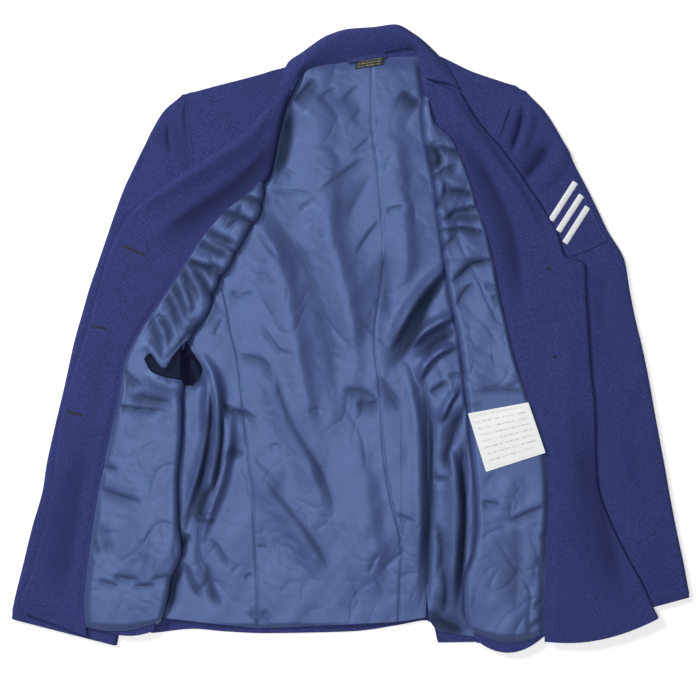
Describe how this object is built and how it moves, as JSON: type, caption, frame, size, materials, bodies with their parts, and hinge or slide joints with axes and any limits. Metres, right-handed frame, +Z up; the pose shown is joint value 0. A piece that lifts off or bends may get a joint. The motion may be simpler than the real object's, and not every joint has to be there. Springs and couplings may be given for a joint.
{
  "type": "service dress jacket",
  "caption": "Tailored uniform jacket laid open on its back, fronts turned out over the sleeves, with a satin lining, notched lapels and plain rank bars on one sleeve.",
  "frame": {"origin": "middle of the laid-out outline, on the surface that the jacket lies on", "axes": "+Z up from the surface, +Y from the hem towards the collar, +X towards the wearer's left"},
  "size_m": [0.782, 0.7182, 0.0168],
  "materials": {
    "wool": "dark blue worsted wool, matt",
    "satin": "blue satin lining, soft sheen",
    "dark_satin": "blue-black lining in the shade of the sleeve",
    "black_label": "black woven label, bare",
    "white_label": "white printed tape, bare",
    "white_stripe": "white embroidered bar",
    "button": "plain satin metal"
  },
  "bodies": {
    "root": {"back_shell": "wool", "side_shell_r": "wool", "side_shell_l": "wool", "front_shell_r": "wool", "front_shell_l": "wool", "front_facing_r": "wool", "front_facing_l": "wool", "sleeve_top_r": "wool", "sleeve_top_l": "wool", "sleeve_under_r": "wool", "sleeve_under_l": "wool", "collar": "wool", "sleeve_patch_l": "wool", "hanger_loop": "wool", "back_lining_r": "satin", "back_lining_l": "satin", "back_lining_side_r": "satin", "back_lining_side_l": "satin", "front_lining_r": "satin", "front_lining_l": "satin", "sleeve_lining_r": "dark_satin", "neck_label": "black_label", "care_label": "white_label", "rank_stripe_1": "white_stripe", "rank_stripe_2": "white_stripe", "rank_stripe_3": "white_stripe", "button_1": "button", "button_2": "button", "button_3": "button"}
  },
  "joints": []
}
